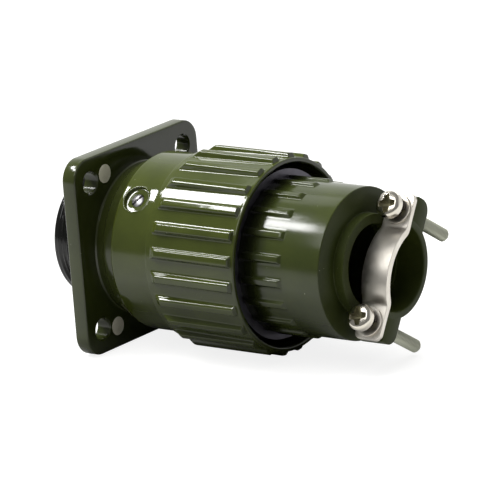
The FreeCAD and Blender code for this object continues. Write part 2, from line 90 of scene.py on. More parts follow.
# Receptacle shell
# A die-cast aluminium flange with a barrel on each side of it, threaded and
# then sprayed with glossy olive enamel. The barrel behind the flange passes
# through the panel and is left black.
flange_side = 60.0
flange_thickness = 4.7
flange_corner = 6.5
flange_edge = 0.5
hole_from_axis = 22.5
hole_radius = 3.3
hole_chamfer = 0.4
cell_start = 16.5  # the square cell round each hole reaches from here to the side
side_columns = 12  # columns of the outline from the middle of a side to a cell
covered_front = 22.3  # the plate's faces end at these radii, under the barrels
covered_rear = 18.4
shell_front = 27.0
shell_rear = -14.4
shell_pitch = 1.5
shell_thread_depth = 0.5
crest_radius = 24.0
rear_radius = 19.0
foot_radius = 23.3
relief_radius = 22.9  # the plain stretch between the foot and the front thread
relief_end = 7.5
front_thread_start = 12.4
socket_radius = 21.06
socket_floor = 3.5
ledge_radius = 15.4  # the ledge that the inserts are held against
ledge_rear = 1.5
insert_bore = 16.6
groove_front = -9.05
groove_rear = -10.45
groove_radius = 17.35
steep_edge = math.radians(38)


def unit(vectors):
    """The vectors, each drawn to length 1."""
    return vectors / np.linalg.norm(vectors, axis=-1, keepdims=True)


def stepped(*sizes):
    """Corners (x, radius) of a stepped outline: the first corner's two sizes, and then by turns the next
    corner's x or radius, with the other kept."""
    return [(sizes[k + k % 2], sizes[k + 1 - k % 2]) for k in range(len(sizes) - 1)]


def softened(corners, cut, steps=4):
    """Chain of (x, radius) corners with the inner ones made round, each by a quadratic Bezier curve from
    cut before the corner to cut after it."""
    corners = np.asarray(corners, float)
    middle = corners[1:-1]
    cut = np.broadcast_to(cut, len(middle))[:, None]
    start = middle + unit(corners[:-2] - middle) * cut
    end = middle + unit(corners[2:] - middle) * cut
    t = np.linspace(0, 1, steps + 1)[None, :, None]
    curves = (1 - t) ** 2 * start[:, None] + 2 * t * (1 - t) * middle[:, None] + t ** 2 * end[:, None]
    return np.concatenate([corners[:1], curves.reshape(-1, 2), corners[-1:]])


def straight_run(x, radius):
    """Outline points at each x, all at one radius."""
    return np.stack([x, np.full_like(x, radius)], axis=-1)


def rows_of(outline, run):
    """Where in the outline the points of a straight run lie, by their x."""
    start = int(np.argmax(outline[:, 0] == run[0]))
    return slice(start, start + len(run))


def full_turn(steps):
    """Evenly spaced angles for one turn."""
    return np.linspace(0, 2 * np.pi, steps, endpoint=False)


def spun(x, radius, angle):
    """Points of a turned surface, a row for each x and a column for each angle from +Y towards +Z."""
    x, radius, angle = np.broadcast_arrays(x, radius, angle)
    return np.stack([x, radius * np.cos(angle), radius * np.sin(angle)], axis=-1)


def turned(points, angle):
    """Points turned about the X axis by an angle, from +Y towards +Z."""
    x, y, z = np.moveaxis(points, -1, 0)
    c, s = math.cos(angle), math.sin(angle)
    return np.stack([x, y * c - z * s, y * s + z * c], axis=-1)


def thread_groove(x, angle, pitch):
    """Depth of a right-hand thread, from 0 on its crest to 1 in its root, as a cosine wave along x."""
    return 0.5 - 0.5 * np.cos(2 * np.pi * (x / pitch - angle / (2 * np.pi)))


def patch(points, close_rows=False, close_columns=True, keep=None):
    """Points of a grid with its quads. A closed direction joins its last line to its first, and keep says
    which quads are made."""
    rows, columns = points.shape[:2]
    i, j = np.meshgrid(
        np.arange(rows if close_rows else rows - 1), np.arange(columns if close_columns else columns - 1),
        indexing="ij")
    next_i = (i + 1) % rows * columns
    next_j = (j + 1) % columns
    quads = np.stack([i * columns + j, i * columns + next_j, next_i + next_j, next_i + j], axis=-1)
    quads = quads.reshape(-1, 4) if keep is None else quads[keep]
    return points.reshape(-1, 3), quads


def make_piece(name, patches, material, body, replaced):
    """One object out of patches in millimetres: equal points are merged, which also closes the poles,
    faces are turned outwards, and steep edges are kept sharp."""
    first = np.cumsum([0] + [len(points) for points, quads in patches[:-1]])
    points = np.concatenate([points for points, quads in patches]) * 0.001
    quads = np.concatenate([quads + start for (p, quads), start in zip(patches, first)])
    mesh = bpy.data.meshes.new(name)
    mesh.from_pydata(points, [], quads)
    work = bmesh.new()
    work.from_mesh(mesh)
    bmesh.ops.remove_doubles(work, verts=work.verts, dist=2e-7)
    bmesh.ops.recalc_face_normals(work, faces=work.faces)
    work.to_mesh(mesh)
    work.free()
    mesh.shade_smooth()
    mesh.set_sharp_from_angle(angle=steep_edge)
    mesh.materials.append(material)
    piece = new_object(name, mesh)
    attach(piece, body)
    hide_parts(replaced)


def colour(code):
    """Linear colour from an sRGB hex code, whose curve has a straight piece near black."""
    channels = np.array([int(code[i:i + 2], 16) for i in (0, 2, 4)]) / 255
    linear = np.where(channels <= 0.04045, channels / 12.92, ((channels + 0.055) / 1.055) ** 2.4)
    return (*linear.tolist(), 1.0)


def set_sockets(node, values):
    """Sets the node's sockets, by name or number, to values, or links other nodes' outputs to them."""
    for socket, value in values.items():
        if isinstance(value, bpy.types.NodeSocket):
            node.id_data.links.new(value, node.inputs[socket])
        else:
            node.inputs[socket].default_value = value


def add_node(material, kind, links=None, **settings):
    """Adds one shader node with its settings and sockets, and returns its outputs."""
    node = material.node_tree.nodes.new("ShaderNode" + kind)
    for setting, value in settings.items():
        setattr(node, setting, value)
    set_sockets(node, links or {})
    return node.outputs


def place_in(material):
    """Places in the connector's frame, in metres."""
    return add_node(material, "TexCoord")["Object"]


def along_axis(material):
    """Place along the connector's axis, in metres."""
    return add_node(material, "SeparateXYZ", {0: place_in(material)})["X"]


def noise(material, place, mark_mm, detail=2.0):
    """Cloudy noise from 0 to 1 whose marks are about mark_mm across."""
    return add_node(material, "TexNoise", {"Vector": place, "Scale": 1000 / mark_mm, "Detail": detail})["Fac"]


def maths(material, operation, *terms):
    """The operation's result for its terms."""
    return add_node(material, "Math", dict(enumerate(terms)), operation=operation)["Value"]


def mapped(material, value, low, high, to_low=0.0, to_high=1.0):
    """The value, moved from the range between low and high to another one and held at its ends."""
    links = {"Value": value, "From Min": low, "From Max": high, "To Min": to_low, "To Max": to_high}
    return add_node(material, "MapRange", links)["Result"]


def mixed(material, share, first, second):
    """Colour that goes from the first to the second as the share goes from 0 to 1."""
    return add_node(material, "Mix", {0: share, 6: first, 7: second}, data_type="RGBA")[2]


def relief(material, height, strength, depth_mm):
    """Directions of a surface that has the height's relief."""
    links = {"Height": height, "Strength": strength, "Distance": depth_mm / 1000}
    return add_node(material, "Bump", links)["Normal"]


def new_material(name):
    """Material with nodes, its Principled shader, and the places on the piece."""
    material = bpy.data.materials.new(name)
    material.use_nodes = True
    return material, material.node_tree.nodes["Principled BSDF"], place_in(material)


def looks_of(material):
    """The material's shader, with what is linked to its colour and to its roughness."""
    shader = material.node_tree.nodes["Principled BSDF"]
    tone, gloss = (shader.inputs[name].links[0].from_socket for name in ("Base Color", "Roughness"))
    return shader, tone, gloss


def olive_enamel(name, code, dull_code, roughness):
    """Sprayed enamel, baked glossy. Its tone drifts over about 12 mm, dust has dried into it in specks of
    about 0.2 mm, and its skin has spray paint's ripple of about 1.3 mm."""
    paint, shader, place = new_material(name)
    drift = noise(paint, place, 12, detail=4.0)
    tone = mixed(paint, mapped(paint, drift, 0.35, 0.65), colour(code), colour(dull_code))
    off_grain = add_node(paint, "TexVoronoi", {"Vector": place, "Scale": 1000 / 2.2})["Distance"]
    speck = maths(paint, "LESS_THAN", off_grain, mapped(paint, noise(paint, place, 5), 0.52, 0.75, 0.0, 0.11))
    ripple = noise(paint, place, 1.3)
    skin = maths(paint, "MULTIPLY_ADD", noise(paint, place, 6, detail=1.0), 3.0, ripple)
    set_sockets(shader, {
        "Base Color": mixed(paint, speck, tone, colour("9a9d80")),
        "Roughness": mapped(paint, drift, 0, 1, roughness * 0.75, roughness * 1.35),
        "Normal": relief(paint, skin, 0.22, 0.03), "IOR": 1.42})
    return paint


def quarter_of_outline(offset=0.0):
    """Quarter of the flat face's outline, or of a line outside it: half of the +Y side, the corner's arc,
    and half of the +Z side."""
    side = flange_side / 2 - flange_edge
    corner = flange_corner - flange_edge
    level = np.concatenate([
        np.linspace(0, cell_start, side_columns, endpoint=False),
        np.linspace(cell_start, side - corner, 6, endpoint=False)])
    bend = np.linspace(0, np.pi / 2, 17)
    straight = np.stack([np.full_like(level, side + offset), level], axis=-1)
    arc = side - corner + (corner + offset) * np.stack([np.cos(bend), np.sin(bend)], axis=-1)
    return np.concatenate([straight, arc, straight[:0:-1, ::-1]])


def all_four(quarter):
    """The quarter and its copies after one, two and three right-angle turns from +Y towards +Z."""
    y, z = quarter[:, 0], quarter[:, 1]
    return np.concatenate([quarter, np.stack([-z, y], -1), -quarter, np.stack([z, -y], -1)])


def at_levels(x, loops):
    """Loops of (y, z) points with x in front, which is one number or one for each loop."""
    level = np.broadcast_to(x, len(loops))[:, None, None] + 0 * loops[..., :1]
    return np.concatenate([level, loops], axis=-1)


def between(inner, outer, x):
    """Flat patch at x, with rows that go evenly from the inner loop to the outer one."""
    t = np.linspace(0, 1, 5)[:, None, None]
    return at_levels(x, inner + t * (outer - inner))


def flange_patches():
    """The plate: a rim, a cell round each hole and a star-shaped middle on both faces, the holes' walls,
    and a cone inside that joins the middles where the barrels cover it."""
    bend = np.linspace(0, np.pi / 2, 5)
    offsets = flange_edge * np.concatenate([np.sin(bend), np.cos(bend)])
    rim_x = np.concatenate([
        flange_thickness - flange_edge * (1 - np.cos(bend)), flange_edge * (1 - np.sin(bend))])
    rim = np.stack([all_four(quarter_of_outline(offset)) for offset in offsets])
    patches = [patch(at_levels(rim_x, rim))]

    quarter = quarter_of_outline()
    wall_level = np.linspace(quarter[0, 0], cell_start, 9)
    wall_down = np.stack([np.full_like(wall_level, cell_start), wall_level], axis=-1)
    wall_out = wall_down[::-1, ::-1]
    last_column = len(quarter) - side_columns + 1
    cell = np.concatenate([quarter[side_columns:last_column - 1], wall_down[:-1], wall_out[:-1]])
    star = all_four(np.concatenate([
        quarter[:side_columns], wall_out[:0:-1], wall_down[::-1], quarter[last_column:]]))

    middle = np.array([hole_from_axis, hole_from_axis])
    from_hole = unit(cell - middle)
    mouth = middle + (hole_radius + hole_chamfer) * from_hole
    hole = middle + hole_radius * from_hole
    depth = np.array([flange_thickness, flange_thickness - hole_chamfer, flange_thickness / 2, 0.0])
    around_hole = [between(mouth, cell, flange_thickness), between(hole, cell, 0.0),
                   at_levels(depth, np.stack([mouth, hole, hole, hole]))]
    for quarter_turns in range(4):
        patches += [patch(turned(points, quarter_turns * math.pi / 2)) for points in around_hole]

    front = between(covered_front * unit(star), star, flange_thickness)
    rear = between(covered_rear * unit(star), star, 0.0)
    patches += [patch(front), patch(rear), patch(np.stack([front[0], rear[0]]))]
    return patches


def barrel_patch():
    """Both barrels in one turned body, from its outline in (x, radius), with a thread cut into each."""
    rear_thread = np.arange(shell_rear + 1.0, -0.6, shell_pitch / 8)
    front_thread = np.arange(front_thread_start, shell_front - 1.0, shell_pitch / 8)
    outline = np.concatenate([
        straight_run(rear_thread, rear_radius),
        softened([
            (-0.5, rear_radius), (1.0, rear_radius), (1.0, foot_radius),
            (flange_thickness + 0.02, foot_radius), (flange_thickness + 0.4, relief_radius),
            (relief_end, relief_radius), (relief_end + 1.1, crest_radius),
            (relief_end + 1.2, crest_radius)], [0.1, 0.1, 0.1, 0.12, 0.3, 0.05]),
        straight_run(front_thread, crest_radius),
        softened(stepped(
            shell_front - 0.9, crest_radius, shell_front, socket_radius, socket_floor, ledge_radius,
            ledge_rear, insert_bore, groove_front, groove_radius, groove_rear, insert_bore,
            shell_rear, rear_radius, shell_rear + 0.9), [0.8, 0.3] + 8 * [0.1] + [0.3, 0.7])])
    cut_thread = np.zeros((len(outline), 1))
    for run in (rear_thread, front_thread):
        run_in = np.minimum(run - run[0], run[-1] - run) / shell_pitch
        cut_thread[rows_of(outline, run), 0] = np.clip(run_in, 0, 1)
    x, radius, angle = outline[:, :1], outline[:, 1:], full_turn(144)
    groove = shell_thread_depth * cut_thread * thread_groove(x, angle, shell_pitch)
    return patch(spun(x, radius - groove, angle), close_rows=True)


def receptacle_enamel():
    """The enamel, with the barrel behind the flange left black from the oxide bath."""
    # Painted shade: this enamel is darker than the nut's, standing in for the dim light on the flange's front
    # face.
    paint = olive_enamel("glossy olive enamel on the receptacle", "363d1a", "303617", 0.12)
    shader, tone, gloss = looks_of(paint)
    behind = maths(paint, "LESS_THAN", along_axis(paint), -0.0001)
    set_sockets(shader, {"Base Color": mixed(paint, behind, tone, colour("0f100e"))})
    return paint


make_piece("receptacle_shell_enamelled", flange_patches() + [barrel_patch()], receptacle_enamel(),
           "receptacle", "receptacle_shell")


# Bare pins in the flange
# Two aluminium pins are pressed into the flange beside its holes. Their ends
# were faced flush after painting, so they are bare and faintly mottled.
pin_radius = 2.85
pin_front = flange_thickness + 0.04
pin_rear = 1.75
pin_y = -15.5
pin_z = 23.5


def mottled(name, code, other_code, mark_mm, detail, values, relief_mm=None):
    """Material that drifts between two tones in marks of a size, and can have a relief of the marks."""
    material, shader, place = new_material(name)
    marks = noise(material, place, mark_mm, detail)
    set_sockets(shader, {
        "Base Color": mixed(material, marks, colour(code), colour(other_code)), **values})
    if relief_mm:
        set_sockets(shader, {"Normal": relief(material, marks, 0.4, relief_mm)})
    return material


# The cutter's fine rings scatter the light, so the pins look chalky and not mirror-like.
bare_aluminium = mottled(
    "faced aluminium", "f6f2df", "e6e1cb", 1.5, 5.0, {"Metallic": 0.05, "Roughness": 0.75})
pin_outline = softened(
    [(pin_front, 0.0), (pin_front, pin_radius), (pin_rear, pin_radius), (pin_rear, 0.0)], [0.15, 0.15])
pin_points = spun(pin_outline[:, :1], pin_outline[:, 1:], full_turn(48))
make_piece("flange_pins_faced", [patch(pin_points + [0, pin_y, z]) for z in (pin_z, -pin_z)], bare_aluminium,
           "receptacle", "flange_blind_pins")


# Inserts, contacts, seal and rings inside
# The insulators are moulded in a filled brown-black plastic, the contacts are
# turned brass with a silver plating, the seal is black rubber, and the split
# rings are spring steel. All keep their CAD shape.
def dress(material, *nodes):
    """Puts the material on nodes that keep their CAD mesh."""
    for node in nodes:
        bpy.data.objects[node].data.materials.clear()
        bpy.data.objects[node].data.materials.append(material)


# The filler shows as a fine grain in a satin brown-black skin.
dress(mottled("filled phenolic moulding", "2a2420", "3d342c", 0.5, 6.0, {"Roughness": 0.5, "IOR": 1.5}, 0.03),
      "receptacle_insert_front", "receptacle_insert_rear", "plug_insert_front", "plug_insert_rear")
# A soft white gleam with straw-coloured tarnish.
dress(mottled("silver plate on turned brass", "dcd7cb", "c4b99c", 2, 4.0,
              {"Metallic": 1.0, "Roughness": 0.25}), "pin_contacts", "socket_contacts")
# A dull black with a faint grey bloom.
dress(mottled("moulded black rubber", "1a1a1a", "2b2b2a", 1, 4.0, {"Roughness": 0.75, "IOR": 1.52}),
      "shell_seal")
# A grey sheen, blotched where the scale of hardening was left.
dress(mottled("blued spring steel", "8c8c90", "6e6c70", 1.2, 5.0, {"Metallic": 1.0, "Roughness": 0.35}),
      "receptacle_snap_ring", "plug_snap_ring", "nut_stop_ring")
# A dark satin grey, stained unevenly by the anodising bath.
dress(mottled("turned aluminium, clear anodised", "626068", "4b494f", 3, 5.0,
              {"Metallic": 0.85, "Roughness": 0.45}), "plug_shell")


# Coupling nut
# A cast and turned aluminium sleeve in the same enamel: a smooth collar, a
# step up, and 24 gripping ribs with flat valleys between them. A small screw
# in a round recess in the collar locks it on the thread.
nut_front = 13.0
nut_rear = 59.6
collar_radius = 26.65
collar_edge = 0.9
shoulder_x = 27.1
valley_front = 28.1
valley_rear = 28.7
valley_half_angle = 0.075  # half of the flat's angle seen from the axis
rib_tip = 30.05
rib_count = 24
rib_phase = math.radians(154.8)
rib_foot = valley_rear + 0.3
rib_start = 29.0
rib_ramp = 2.5
rib_end = 58.1
rib_end_slope = 0.4
rib_profile_mm = [0, 0.45, 0.7, 0.9, 1.05, 1.2, 1.35, 1.5, 1.65, 1.85, 2.4, 3.0]
rib_profile_height = [1, 1, 0.985, 0.94, 0.87, 0.74, 0.53, 0.27, 0.08, 0, 0, 0]
thread_bore = 24.06
nut_rear_bore = 27.2
lip_front = 30.3  # the inner lip that the plug's shoulder pushes against
lip_rear = 34.0
lip_bore = 22.91
recess_x = 19.0
recess_angle = math.radians(137.1)
recess_radius = 4.1
recess_depth = 1.0
window_half = 4.8  # the recess's window in the collar, along the axis
window_left = 5.1  # and round the collar
window_right = 5.4
lock_hole_radius = 2.05
lock_hole_depth = 1.2  # from the recess's floor


def rib_angles(count, phase, profile_mm, at_radius):
    """Angles of the columns round a ribbed barrel, in the same steps on both sides of each rib."""
    half = np.array(profile_mm[1:]) / at_radius
    one = np.concatenate([-half[::-1], [0], half, [np.pi / count]])
    return (phase + (2 * np.pi / count * np.arange(count))[:, None] + one).ravel()


def from_middle(angle, count, phase):
    """Angle from the nearest rib's middle line."""
    step = 2 * np.pi / count
    return (angle - phase + step / 2) % step - step / 2


def lower_of(a, b, blend):
    """The lower of two heights, with a smooth turn where they are within blend of each other."""
    share = np.clip(0.5 + 0.5 * (b - a) / blend, 0, 1)
    return b + (a - b) * share - blend * share * (1 - share)


def nut_radius(x, angle):
    """Outer radius behind the shoulder: flat valleys, which go over to round near both ends, and ribs that
    rise from them by the lower of their flanks' height and their end slopes' height."""
    valley = valley_front + (valley_rear - valley_front) * (x - shoulder_x) / (nut_rear - shoulder_x)
    off_rib = from_middle(angle, rib_count, rib_phase)
    off_valley = np.minimum(np.pi / rib_count - abs(off_rib), valley_half_angle)
    flat_share = np.clip(x - shoulder_x - 0.5, 0, 1) * np.clip((nut_rear - 0.6 - x) / 0.8, 0, 1)
    valley = valley * (1 + flat_share * (1 / np.cos(off_valley) - 1))
    flank = np.interp(abs(off_rib) * rib_foot, rib_profile_mm, rib_profile_height)
    front_slope = (x - rib_start) / rib_ramp
    rear_slope = (rib_end + rib_end_slope - x) / rib_end_slope
    ends = np.clip(np.minimum(front_slope, rear_slope), 0, 1)
    rise = np.clip(lower_of(flank, ends, 0.1), 0, 1)
    return valley + rise * (rib_tip - valley)


def rim_of(grid):
    """The border of a grid of points as a loop."""
    return np.concatenate([grid[:-1, 0], grid[-1, :-1], grid[:0:-1, -1], grid[0, :0:-1]])


def nut_patches():
    """The nut's whole section as one closed outline, spun, with rows close together where the ribs rise
    and fall, and a round recess let into a window of the collar's grid."""
    angle = rib_angles(rib_count, rib_phase, rib_profile_mm, rib_foot)
    collar_rows = np.linspace(recess_x - window_half, recess_x + window_half, 9)
    ribbed_rows = np.concatenate([
        shoulder_x + np.array([0.5, 0.8, 1.2, 1.5]),
        np.linspace(rib_start - 0.2, rib_start + rib_ramp + 0.7, 15),
        np.linspace(rib_start + rib_ramp + 2.0, rib_end - 1.6, 8),
        np.linspace(rib_end - 0.7, rib_end + 0.8, 13)])
    outline = np.concatenate([
        softened(stepped(21.0, thread_bore, nut_front, collar_radius, nut_front + 1.05), [0.3, collar_edge]),
        straight_run(collar_rows, collar_radius),
        softened(stepped(25.0, collar_radius, shoulder_x, valley_front, shoulder_x + 0.4), [0.25, 0.3]),
        straight_run(ribbed_rows, valley_front),
        softened(stepped(nut_rear - 0.6, valley_rear, nut_rear, nut_rear_bore + 0.4)
                 + stepped(nut_rear - 0.4, nut_rear_bore, lip_rear, lip_bore, lip_front, thread_bore, 24.0),
                 [0.45, 0.15, 0.15, 0.1, 0.1, 0.1, 0.1])])
    x, radius = outline[:, :1], outline[:, 1:] + 0 * angle
    ribbed = rows_of(outline, ribbed_rows)
    radius[ribbed] = nut_radius(x[ribbed], angle)

    around = (angle - recess_angle + np.pi) % (2 * np.pi) - np.pi
    left = int(np.argmin(abs(around + window_left / collar_radius)))
    right = int(np.argmin(abs(around - window_right / collar_radius)))
    rows = np.arange(len(outline))[rows_of(outline, collar_rows)]
    columns = (left + np.arange((right - left) % len(angle) + 1)) % len(angle)
    keep = np.ones(radius.shape, bool)
    keep[np.ix_(rows[:-1], columns[:-1])] = False
    rim_column, rim_row = rim_of(np.stack(np.meshgrid(columns, rows, indexing="ij"), axis=-1)).T
    edge_x = outline[rim_row, 0] - recess_x
    edge_side = collar_radius * np.sin(around[rim_column])
    return [patch(spun(x, radius, angle), close_rows=True, keep=keep), recess_patch(edge_x, edge_side)]


def recess_patch(edge_x, edge_side):
    """Rings from the window's edge to a circle, over a low lip of paint, down the recess's wall, across its
    floor and into the screw's hole. Each has a radius, a rise over the collar, and a share by which its
    height goes from the collar's curve to a plane."""
    recess = [recess_radius, 0, 0] + np.array([
        (0.65, 0, 0), (0.5, 0.03, 0), (0.35, 0.09, 0), (0.2, 0.1, 0), (0.08, 0.04, 0), (0, -0.08, 0.1),
        (-0.02, -0.3, 0.5), (-0.05, -0.7, 0.9), (-0.2, -recess_depth, 1)])
    hole = [lock_hole_radius, -recess_depth, 1] + np.array([
        (0.25, 0, 0), (0.05, -0.1, 0), (0, -lock_hole_depth, 0), (-lock_hole_radius, -lock_hole_depth, 0)])
    rings = np.concatenate([recess, hole])
    far = np.hypot(edge_x, edge_side)
    to_circle = np.array([1, 0.66, 0.33])[:, None]
    reach = np.concatenate([to_circle * far + (1 - to_circle) * rings[0, 0], rings[:, :1] + 0 * far])
    rise, flat = np.concatenate([np.zeros((3, 2)), rings[:, 1:]]).T[:, :, None]
    side = edge_side / far * reach
    height = (1 - flat) * np.sqrt(collar_radius ** 2 - side ** 2) + flat * collar_radius + rise
    return patch(turned(np.stack([recess_x + edge_x / far * reach, height, side], axis=-1), recess_angle))


nut_enamel = olive_enamel("glossy olive enamel on the nut", "41491b", "394118", 0.065)
make_piece("coupling_nut_enamelled", nut_patches(), nut_enamel, "nut", "coupling_nut")


# Lock screw
# A short slotted screw of nickel-plated steel, which is screwed into the collar.
# Its domed end stands a little proud of the recess's floor.
lock_radius = 2.0
lock_top = 26.05
lock_foot = lock_top - 1.7
lock_dome = 0.3  # the dome falls by this much to its rim
lock_edge = 0.3
slot_width = 0.7
slot_depth = 0.6
slot_flank = 0.06  # how far the slot's walls lean out
slot_slant = math.radians(35)


def nickel_plating(name, code, worn_code, roughness, mark_mm):
    """Bright nickel. Handling marks make its gloss uneven, and it has thin warm stains where it has aged."""
    plate, shader, place = new_material(name)
    stains = noise(plate, place, 4, detail=4.0)
    marks = noise(plate, place, mark_mm, detail=3.0)
    set_sockets(shader, {
        "Base Color": mixed(plate, stains, colour(code), colour(worn_code)), "Metallic": 1.0,
        "Roughness": mapped(plate, marks, 0.3, 0.7, roughness * 0.85, roughness * 1.2),
        "Normal": relief(plate, marks, 0.2, 0.004)})
    return plate


def slot_level(y, z):
    """Level of the domed end with its rounded edge and straight slot."""
    distance = np.hypot(y, z)
    edge = np.clip(distance - lock_radius + lock_edge, 0, lock_edge)
    slot = np.clip(((slot_width + slot_flank) / 2 - abs(y)) / slot_flank, 0, 1)
    dome = lock_dome * (distance / lock_radius) ** 2
    return lock_top - dome - edge ** 2 * 1.5 - slot_depth * slot


def lock_screw_parts():
    """Top of the screw as a square grid drawn out to a disc, with grid lines on both edges of the slot's
    walls. From its rim, rings go down the side and close on the axis."""
    slot_lines = np.array([slot_width - slot_flank, slot_width + slot_flank]) / 2 / lock_radius
    lines = np.concatenate([np.linspace(-1, 1, 25), slot_lines, -slot_lines, [-0.2, 0.2]])
    lines = np.unique(np.round(lines, 4))
    u, v = np.meshgrid(lines, lines, indexing="ij")
    y = lock_radius * u * np.sqrt(1 - v ** 2 / 2)
    z = lock_radius * v * np.sqrt(1 - u ** 2 / 2)
    top = np.stack([slot_level(y, z), y, z], axis=-1)
    rim = rim_of(top)
    radius = np.array([lock_radius, lock_radius, 0.0])[:, None, None]
    side = at_levels([lock_top - 0.4, lock_foot, lock_foot], radius * unit(rim[:, 1:]))
    return [patch(top, close_columns=False), patch(np.concatenate([rim[None], side]))]


def on_collar(points):
    """From the screw's own frame, its length first, to the collar's recess, with the slot at its slant."""
    level, along, side = np.moveaxis(turned(points, slot_slant), -1, 0)
    return turned(np.stack([recess_x + along, level, side], axis=-1), recess_angle)


dull_nickel = nickel_plating("dull nickel on the lock screw", "a5a4a6", "8b898a", 0.3, 0.6)
make_piece("nut_lock_screw_slotted", [(on_collar(points), quads) for points, quads in lock_screw_parts()],
           dull_nickel, "nut", "nut_lock_screw")


# Backshell
# A cast aluminium cover screwed into the plug, in the same enamel, with 20 finer
# ribs that go in under the nut's rim. A short neck and a half-round trough with
# two lugs carry the cable clamp.
plug_rear = 57.0
backshell_radius = 22.6
backshell_rear = 85.5
backshell_bore = 20.0
buried_radius = 22.0  # the plain part inside the nut
buried_front = 45.0
grip_count = 20
grip_phase = math.radians(165.7)
grip_tip = 23.4
grip_foot = backshell_radius + 0.4
grip_start = 57.4
grip_end = 71.6
grip_profile_mm = [0, 0.5, 0.8, 0.95, 1.1, 1.25, 1.4, 1.55, 2.3]
grip_profile_height = [1, 1, 0.95, 0.82, 0.55, 0.25, 0.07, 0, 0]
neck_radius = 15.0
neck_bore = 12.0
neck_start = 82.8
neck_end = 88.7
trough_end = 97.9
trough_inner = 12.8
trough_outer = 15.0
lug_face = 0.8
lug_far = 7.8
lug_reach = 21.9
lug_corner = 3.8
lug_ease = 0.6
lug_hole_radius = 2.06
clamp_roll = math.radians(31.8)
screw_x = 93.0
screw_offset = 17.0


def to_connector(points):
    """From the clamp's own frame (x, along the screws, across) to the connector's, by the clamp's roll."""
    return turned(points, -clamp_roll)


def backshell_body():
    """The cover's closed outline, spun, with the finer ribs raised on its front half."""
    angle = rib_angles(grip_count, grip_phase, grip_profile_mm, grip_foot)
    ribbed_rows = np.concatenate([
        [plug_rear + 0.2, plug_rear + 0.35], np.linspace(grip_start + 0.1, grip_start + 0.8, 5),
        np.linspace(grip_start + 2.6, grip_end - 1.1, 6), np.linspace(grip_end - 0.4, grip_end + 1.0, 12)])
    outline = np.concatenate([
        softened(stepped(buried_front + 1.0, buried_radius, plug_rear, backshell_radius, plug_rear + 0.15),
                 [0.05, 0.05]),
        straight_run(ribbed_rows, backshell_radius),
        softened(stepped(75.0, backshell_radius, backshell_rear, neck_radius, neck_end, neck_bore, neck_start,
                         backshell_bore, buried_front, buried_radius, buried_front + 0.5),
                 [0.4, 0.3, 0.35, 0.3, 0.3, 0.3, 0.2, 0.2], steps=6)])
    radius = outline[:, 1:] + 0 * angle
    ribbed = rows_of(outline, ribbed_rows)
    x = outline[ribbed, :1]
    off_rib = abs(from_middle(angle, grip_count, grip_phase)) * grip_foot
    flank = np.interp(off_rib, grip_profile_mm, grip_profile_height)
    ends = np.clip(np.minimum((x - grip_start) / 0.5 + 0.5, (grip_end + 0.5 - x) / 0.9), 0, 1)
    radius[ribbed] += (grip_tip - backshell_radius) * np.clip(lower_of(flank, ends, 0.15), 0, 1)
    return patch(spun(outline[:, :1], radius, angle), close_rows=True)


def trough_patch():
    """Half a tube: its rounded section, spun over almost half a turn, with ends closed inside the lugs."""
    start = neck_end - 0.8
    section = softened(stepped(
        screw_x, trough_outer, trough_end, trough_inner, start, trough_outer, screw_x - 1.0),
        [0.5, 0.5, 0.1, 0.1], steps=5)
    swing = np.linspace(-math.radians(86), math.radians(86), 60)
    points = spun(section[:, :1], section[:, 1:], swing)
    ends = np.repeat(points.mean(axis=0)[None, [0, -1]], len(section), axis=0)
    points = np.concatenate([ends[:, :1], points, ends[:, 1:]], axis=1)
    return patch(to_connector(points), close_rows=True, close_columns=False)


def lug_patch(side):
    """A lug with the screw's hole, in rays from the hole to the lug's outline: out over the clamping face,
    up the end, and back over the far face, which bends down in a quarter round to the outer end."""
    near, far_x = neck_end, trough_end - 0.05
    inner, outer = trough_inner - 0.01, lug_reach
    walk = np.linspace(0, 1, 21, endpoint=False)
    start, end = np.zeros(21), np.ones(21)
    edge_x = near + (far_x - near) * np.concatenate([walk, end, 1 - walk, start])
    edge_z = inner + (outer - inner) * np.concatenate([start, walk, end, 1 - walk])
    hole = lug_hole_radius / np.hypot(edge_x - screw_x, edge_z - screw_offset)
    out = np.array([0, 0.06, 0.25, 0.45, 0.62, 0.75, 0.85, 0.91, 0.95, 0.98, 1.0])[:, None]
    share = hole + out * (1 - hole)
    x = screw_x + (edge_x - screw_x) * share
    z = screw_offset + (edge_z - screw_offset) * share
    to_border = np.minimum(np.minimum(x - near + lug_ease, far_x - x), outer - z)
    inward = np.clip(lug_ease - to_border, 0, lug_ease)
    dip = lug_ease - np.sqrt(np.maximum(lug_ease ** 2 - inward ** 2, 0))
    past = np.clip(z - (outer - lug_corner), 0, lug_corner)
    top = lug_far - lug_corner + np.sqrt(lug_corner ** 2 - past ** 2) - dip
    bottom = lug_face + dip * 0.5
    rows_x = np.concatenate([x, x[::-1]])
    rows_z = np.concatenate([z, z[::-1]]) * side
    rows_y = np.concatenate([bottom, np.maximum(top, bottom + 0.2)[::-1]])
    return patch(to_connector(np.stack([rows_x, rows_y, rows_z], axis=-1)), close_rows=True)


def blended(material, share, first, second):
    """Number that goes from the first to the second as the share goes from 0 to 1."""
    return add_node(material, "Mix", {0: share, 2: first, 3: second})[0]


def backshell_finish():
    """The enamel, dry and dull on the rear end, where the spray met it at a slant, and darkened with painted
    shade next to the nut's rim."""
    paint = olive_enamel("glossy olive enamel on the backshell", "3a421a", "323a17", 0.15)
    shader, tone, gloss = looks_of(paint)
    along = along_axis(paint)
    # Painted shade: near black just behind the nut's rim, fading out over about 5 mm.
    nut_rim_painted_shade = mapped(paint, along, (nut_rear + 1.5) / 1000, (nut_rear + 7) / 1000, 0.9, 0.0)
    at_end = mapped(paint, along, (backshell_rear - 0.2) / 1000, (backshell_rear - 0.02) / 1000)
    set_sockets(shader, {
        "Base Color": mixed(paint, nut_rim_painted_shade, tone, colour("12140b")),
        "Roughness": blended(paint, at_end, gloss, 0.42),
        "Specular IOR Level": mapped(paint, at_end, 0, 1, 0.5, 0.2)})
    return paint


